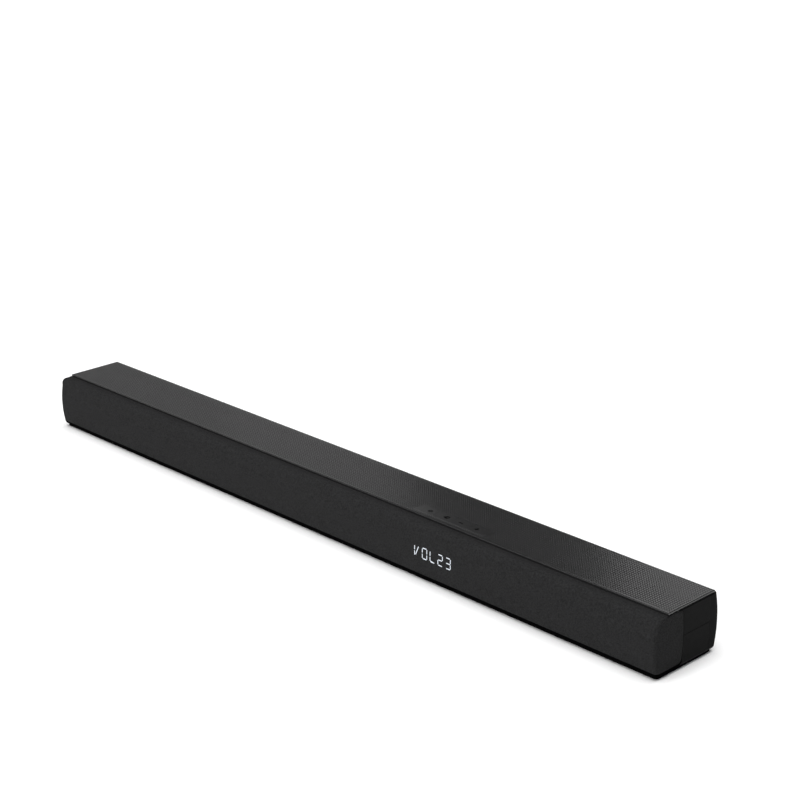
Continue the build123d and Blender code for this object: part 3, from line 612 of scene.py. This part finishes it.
def tangent_corner(arc_centre_y, arc_radius, corner_radius, z, side):
    """Centre of a rounding inside an arc, tangent to the level line at z."""
    up = 1 if z > MIDDLE_Z else -1
    centre_z = z - up * corner_radius
    reach = arc_radius - corner_radius
    centre_y = arc_centre_y + side * math.sqrt(reach**2 - (centre_z - MIDDLE_Z) ** 2)
    return centre_y, centre_z


def outline_paths():
    """Front path and back path of the cloth, seen from the end, both from top to bottom.

    Each entry of the front path is (y, z, end rounding)."""
    front_centre = (-HALF_DEPTH + BULGE_RADIUS, MIDDLE_Z)
    top = tangent_corner(front_centre[0], BULGE_RADIUS, TOP_ROUNDING, CLOTH_HIGH, -1)
    lowest = (cloth_front_y(CLOTH_LOW), CLOTH_LOW)
    half_span = (CLOTH_HIGH - BODY_LOW) / 2
    sag = WRAP_MIDDLE_Y - WRAP_EDGE_Y
    back_radius = (half_span**2 + sag**2) / (2 * sag)
    back_centre = (WRAP_MIDDLE_Y - back_radius, MIDDLE_Z)
    back_top = tangent_corner(back_centre[0], back_radius, WRAP_CORNER, CLOTH_HIGH, 1)
    back_bottom = tangent_corner(back_centre[0], back_radius, WRAP_CORNER, CLOTH_LOW, 1)

    def turn(centre, corner):
        return math.atan2(corner[1] - centre[1], corner[0] - centre[0])

    def level(z, y_from, y_to, steps):
        return [(y_from + (y_to - y_from) * i / steps, z) for i in range(steps)]

    front_top = turn(front_centre, top)
    front_bottom = turn(front_centre, lowest) % (2 * math.pi)
    path = []
    path += [(*p, "top") for p in level(CLOTH_HIGH, back_top[0], TOP_FLANGE_Y, 5)]
    path += [(*p, "top") for p in level(CLOTH_HIGH, TOP_FLANGE_Y, top[0], 4)]
    top_arc = arc_points(top, TOP_ROUNDING, math.pi / 2, front_top, 10)
    path += [(*p, "corner_top") for p in top_arc[:-1]]
    bulge = arc_points(front_centre, BULGE_RADIUS, front_top, front_bottom, 30)
    path += [(*p, "front") for p in bulge]
    below = [lowest[0] + d for d in ACROSS_END[1:]]
    path += [(y, CLOTH_LOW, "bottom") for y in below if y < back_bottom[0]]

    back_up, back_down = turn(back_centre, back_top), turn(back_centre, back_bottom)
    back = arc_points(back_top, WRAP_CORNER, math.pi / 2, back_up, 24)[:-1]
    back += arc_points(back_centre, back_radius, back_up, back_down, 60)
    back += arc_points(back_bottom, WRAP_CORNER, back_down, -math.pi / 2, 24)[1:]
    return path, back


def end_rounding(zone, z):
    """Radius of the edge between the front or top and the end, at a path point."""
    if zone in END_ROUNDING:
        return END_ROUNDING[zone]
    share = min(1.0, (CLOTH_HIGH - z) / TOP_ROUNDING)
    return END_ROUNDING["top"] + (END_ROUNDING["front"] - END_ROUNDING["top"]) * share


def partner_on_back(path, back):
    """For each point of the front path, the point of the back path that its row ends at."""
    level_low, level_high = CLOTH_LOW + WRAP_CORNER, CLOTH_HIGH - WRAP_CORNER
    first = next(i for i, p in enumerate(path) if p[2] == "front" and p[1] < level_high)
    last = max(i for i, p in enumerate(path) if p[2] == "front" and p[1] > level_low)
    upper = [p for p in back if p[1] >= path[first][1]]
    lower = [p for p in back if p[1] <= path[last][1]]

    def along(points, share):
        position = share * (len(points) - 1)
        i = min(int(position), len(points) - 2)
        f = position - i
        return tuple(points[i][k] + (points[i + 1][k] - points[i][k]) * f for k in (0, 1))

    def at_level(z):
        i = next(i for i in range(len(back) - 1) if back[i + 1][1] <= z)
        (y_a, z_a), (y_b, z_b) = back[i], back[i + 1]
        f = (z_a - z) / max(z_a - z_b, 1e-6)
        return (y_a + (y_b - y_a) * f, z)

    partners = []
    for i, (_, z, _) in enumerate(path):
        if i < first:
            partners.append(along(upper, i / first))
        elif i > last:
            partners.append(along(lower, (i - last) / (len(path) - 1 - last)))
        else:
            partners.append(at_level(z))
    return partners


def end_surface_x(y, z, path, back_distance):
    """Height of the end's surface over a point of its side view."""
    near = min(path, key=lambda p: (p[0] - y) ** 2 + (p[1] - z) ** 2)
    inside = math.hypot(near[0] - y, near[1] - z)
    radius = end_rounding(near[2], near[1])
    x = HALF_LENGTH - radius
    x += math.sqrt(max(0.0, radius**2 - max(0.0, radius - inside) ** 2))
    if back_distance < HEM:
        x -= HEM * (1 - math.sqrt(max(0.0, 1 - (1 - back_distance / HEM) ** 2)))
    return x


def make_grille_cloth():
    """One sheet: a strip along the front and a patch over each end, sewn point to point."""
    path, back = outline_paths()
    partners = partner_on_back(path, back)
    dense = [
        tuple(a + (b - a) * f / FINER for a, b in zip(path[i][:2], path[i + 1][:2])) + (path[i][2],)
        for i in range(len(path) - 1)
        for f in range(FINER)
        if path[i + 1][2] != "bottom"
    ]
    lengths = [0.0]
    for a, b in zip(path, path[1:]):
        lengths.append(lengths[-1] + math.dist(a[:2], b[:2]))
    shares = [d / ACROSS_END[-1] for d in ACROSS_END]
    points, cloth_uv, faces = [], [], []

    def end_patch(side):
        """Rows of point numbers over one end, from the front edge to the back edge."""
        rows = []
        for (y, z, zone), (back_y, back_z), length in zip(path, partners, lengths):
            row, run, before = [], 0.0, None
            for share in shares:
                q_y, q_z = y + (back_y - y) * share, z + (back_z - z) * share
                to_back = (1 - share) * math.dist((y, z), (back_y, back_z))
                if share == 0 and zone != "bottom":
                    x = HALF_LENGTH - end_rounding(zone, z)
                else:
                    x = end_surface_x(q_y, q_z, dense, to_back)
                here = (side * x, q_y, q_z)
                run += math.dist(before, here) if before else 0.0
                before = here
                row.append(len(points))
                points.append(here)
                cloth_uv.append((side * (abs(points[row[0]][0]) + run), length))
            rows.append(row)
        return rows

    left, right = end_patch(-1), end_patch(1)
    strip = []
    for i, (y, z, zone) in enumerate(path):
        if zone == "bottom" or y > TOP_FLANGE_Y + 0.01:
            continue
        half = points[right[i][0]][0]
        row = [left[i][0]]
        for j in range(1, COLUMNS):
            x = half * (2 * j / COLUMNS - 1)
            row.append(len(points))
            points.append((x, y, z))
            cloth_uv.append((x, lengths[i]))
        row.append(right[i][0])
        strip.append(row)

    def sew(rows, flip):
        for a, b in zip(rows, rows[1:]):
            for k in range(len(a) - 1):
                quad = tuple(dict.fromkeys((a[k], a[k + 1], b[k + 1], b[k])))
                if len(quad) > 2:
                    faces.append(tuple(reversed(quad)) if flip else quad)

    sew(strip, True)
    sew(left, False)
    sew(right, True)
    cloth = mesh_piece("stretched_grille_cloth", points, faces)
    layer = cloth.data.uv_layers.new(name="cloth")
    for loop in cloth.data.loops:
        layer.data[loop.index].uv = cloth_uv[loop.vertex_index]
    solid = cloth.modifiers.new("thickness", "SOLIDIFY")
    solid.thickness = CLOTH_THICKNESS * MM
    solid.offset = -1
    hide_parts("grille_cloth")
    return cloth


# ======================================================================================
# Readout: the lit segments as they show through the cloth
# ======================================================================================

READOUT_CUTS = 12  # level cuts, so that the bars follow the curve of the cloth
BAR_TRIM = 0.14  # what the cloth shades off each side of a lit bar
FACE_DEPTH = 0.02  # points further back than this aren't on a bar's front face
GLOW_LIFT = 0.04  # how far the glow stands in front of the cloth


def make_readout():
    """The front faces of the light bars, laid on the cloth."""
    bars = frame["nodes"]["display_digits"].data
    work = bmesh.new()
    work.from_mesh(bars)
    face_y = min(v.co.y for v in work.verts)
    behind = [f for f in work.faces if any(v.co.y > face_y + FACE_DEPTH * MM for v in f.verts)]
    bmesh.ops.delete(work, geom=behind, context="FACES")
    bmesh.ops.dissolve_limit(work, angle_limit=0.01, verts=work.verts, edges=work.edges)
    inset = bmesh.ops.inset_individual(work, faces=work.faces[:], thickness=BAR_TRIM * MM)
    bmesh.ops.delete(work, geom=inset["faces"], context="FACES")
    low, high = (c[2] for c in box_mm("display_digits"))
    for step in range(1, READOUT_CUTS):
        level = low + (high - low) * step / READOUT_CUTS
        everything = [*work.verts, *work.edges, *work.faces]
        bmesh.ops.bisect_plane(
            work, geom=everything, plane_co=(0, 0, level * MM), plane_no=(0, 0, 1)
        )
    for v in work.verts:
        v.co.y = (cloth_front_y(v.co.z / MM) - GLOW_LIFT) * MM
    mesh = bpy.data.meshes.new("readout_glow")
    work.to_mesh(mesh)
    work.free()
    readout = bpy.data.objects.new("readout_glow", mesh)
    bpy.context.scene.collection.objects.link(readout)
    return readout


# ======================================================================================
# Camera, floor and light
# ======================================================================================

CAMERA_PLACE = (1.3921, -1.2557, 0.8229)
CAMERA_AZIMUTH, CAMERA_ELEVATION, CAMERA_ROLL = 46.003, 19.937, -0.401
CAMERA_LENS, SENSOR_WIDTH = 82.77, 36
VIEW_REACH = 100  # metres

FLOOR_REACH = 30000
FLOOR_Z = -0.2
SKY_STRENGTH = 0.03
SUN_STRENGTH, SUN_ANGLE, SUN_TILT = 3.3, 60, (3, 2, 0)
LIGHT_TARGET = (0, 0, 0.03)
# name, place, side in metres, power in watts
SOFTBOXES = (
    ("front_panel", (-0.6, -3.2, 1.2), 2.4, 85),
    ("rear_panel", (0.1, 3.4, 1.2), 1.6, 48),
)
# name, bearings of both sides from +Y towards -X in degrees, radiance
LIGHT_CARDS = (
    ("left_card", 44.7, 66, 0.53),
    ("middle_card", 44.7, 53, 0.2),
    ("back_card", 20, 35.9, 1.5),
)
CARD_DISTANCE, CARD_HEIGHT, CARD_MIDDLE = 6.0, 3.0, 2.2


def make_camera():
    """The photograph's viewpoint."""
    azimuth, elevation, roll = map(
        math.radians, (CAMERA_AZIMUTH, CAMERA_ELEVATION, CAMERA_ROLL)
    )
    back = Vector(
        (
            math.sin(azimuth) * math.cos(elevation),
            -math.cos(azimuth) * math.cos(elevation),
            math.sin(elevation),
        )
    )
    level = Vector((math.cos(azimuth), math.sin(azimuth), 0))
    upright = back.cross(level)
    right = level * math.cos(roll) + upright * math.sin(roll)
    up = upright * math.cos(roll) - level * math.sin(roll)
    lens = bpy.data.cameras.new("camera")
    lens.lens = CAMERA_LENS
    lens.sensor_width = SENSOR_WIDTH
    lens.clip_end = VIEW_REACH
    camera = bpy.data.objects.new("camera", lens)
    turned = Matrix((right, up, back)).transposed().to_4x4()
    camera.matrix_world = Matrix.Translation(CAMERA_PLACE) @ turned
    bpy.context.scene.collection.objects.link(camera)
    bpy.context.scene.camera = camera


def area_light(name, place, target, width, height, power):
    """Rectangular light at place that shines towards target."""
    data = bpy.data.lights.new(name, "AREA")
    data.shape = "RECTANGLE"
    data.size = width
    data.size_y = height
    data.energy = power
    light = bpy.data.objects.new(name, data)
    aim = (Vector(target) - Vector(place)).to_track_quat("-Z", "Y")
    light.matrix_world = Matrix.Translation(place) @ aim.to_matrix().to_4x4()
    bpy.context.scene.collection.objects.link(light)


def light_card(name, start, end, radiance):
    """Upright light behind the bar, between two bearings, that the top panel reflects."""
    bearing = math.radians((start + end) / 2)
    width = 2 * CARD_DISTANCE * math.sin(math.radians(end - start) / 2)
    place = (-CARD_DISTANCE * math.sin(bearing), CARD_DISTANCE * math.cos(bearing), CARD_MIDDLE)
    power = radiance * math.pi * width * CARD_HEIGHT
    area_light(name, place, (0, 0, CARD_MIDDLE), width, CARD_HEIGHT, power)


def make_stage():
    """Pale floor, a broad soft sun overhead, softboxes in front and behind, and light cards."""
    scene = bpy.context.scene
    scene.view_settings.view_transform = "Standard"
    world = bpy.data.worlds.new("studio")
    world.use_nodes = True
    sky = world.node_tree.nodes["Background"]
    sky.inputs["Color"].default_value = (1, 1, 1, 1)
    sky.inputs["Strength"].default_value = SKY_STRENGTH
    scene.world = world

    corners = ((-1, -1), (1, -1), (1, 1), (-1, 1))
    points = [(x * FLOOR_REACH, y * FLOOR_REACH, FLOOR_Z) for x, y in corners]
    floor = mesh_piece("studio_floor", points, [(0, 1, 2, 3)])
    paper_white = Surface("floor_paper", 0.9, specular=0.0)
    paper_white.shader.inputs["Base Color"].default_value = (0.93, 0.93, 0.93, 1)
    floor.data.materials.append(paper_white.material)

    sun = bpy.data.lights.new("overhead", "SUN")
    sun.energy = SUN_STRENGTH
    sun.angle = math.radians(SUN_ANGLE)
    overhead = bpy.data.objects.new("overhead", sun)
    overhead.rotation_euler = [math.radians(a) for a in SUN_TILT]
    scene.collection.objects.link(overhead)

    for name, place, side, power in SOFTBOXES:
        area_light(name, place, LIGHT_TARGET, side, side, power)
    for card in LIGHT_CARDS:
        light_card(*card)


# ======================================================================================
# Assembly
# ======================================================================================

make_camera()
materials = finish_cad_nodes()

for piece, slot in (
    (make_top_panel(), "panel_plastic"),
    (make_grille_cloth(), "grille_cloth"),
    (make_readout(), "lit_segments"),
):
    piece.data.materials.append(materials[slot])
    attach(piece, BODY)

symbol_ink = plastic("symbol_ink", (0.003, 0.003, 0.003), 0.8, specular=0.0)
for key in KEYS:
    make_symbol(key, symbol_ink)

make_stage()
